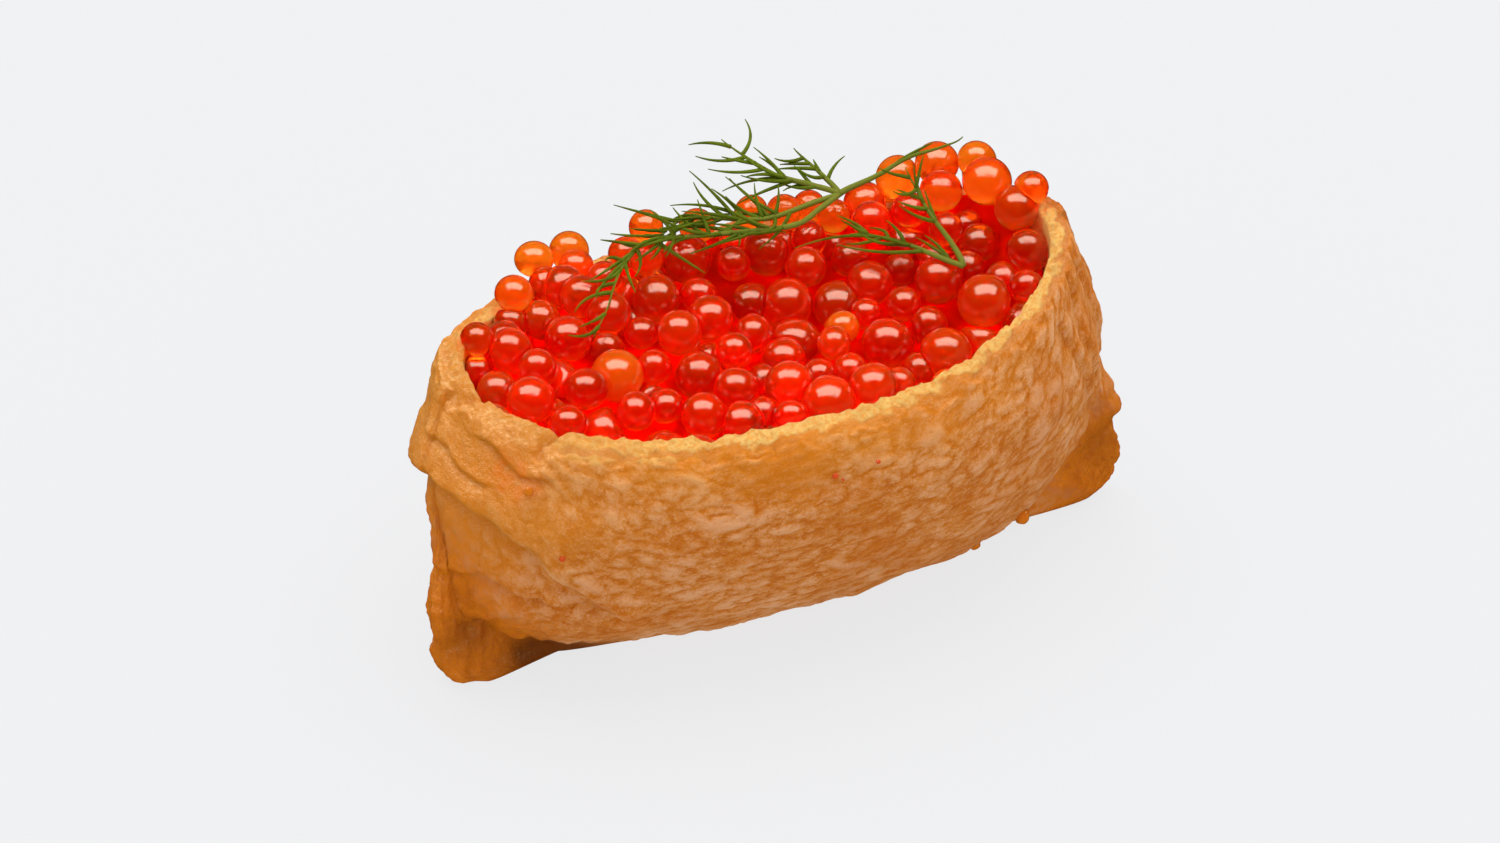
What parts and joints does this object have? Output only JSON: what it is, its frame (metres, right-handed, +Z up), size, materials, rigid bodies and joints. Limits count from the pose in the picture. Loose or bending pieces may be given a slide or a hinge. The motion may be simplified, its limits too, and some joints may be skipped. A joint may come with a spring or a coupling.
{
  "type": "trout roe inari sushi",
  "caption": "Fried tofu pouch with folded ends and a torn rim, heaped with glossy red-orange trout roe and topped with two thin sprigs of dill.",
  "frame": {"origin": "at table level, below the middle of the pouch", "axes": "+X along the pouch towards its raised end, +Z up, -Y towards the bulging wall that faces the viewer"},
  "size_m": [0.0712, 0.0374, 0.0404],
  "materials": {
    "tofu_skin": "matte fried skin with a thin shine of syrup",
    "roe": "wet, clear and glossy",
    "dill": "satin leaf"
  },
  "bodies": {
    "root": {"tofu_pouch": "tofu_skin", "roe_heap": "roe", "dill_sprig_large": "dill", "dill_sprig_small": "dill"}
  },
  "joints": []
}
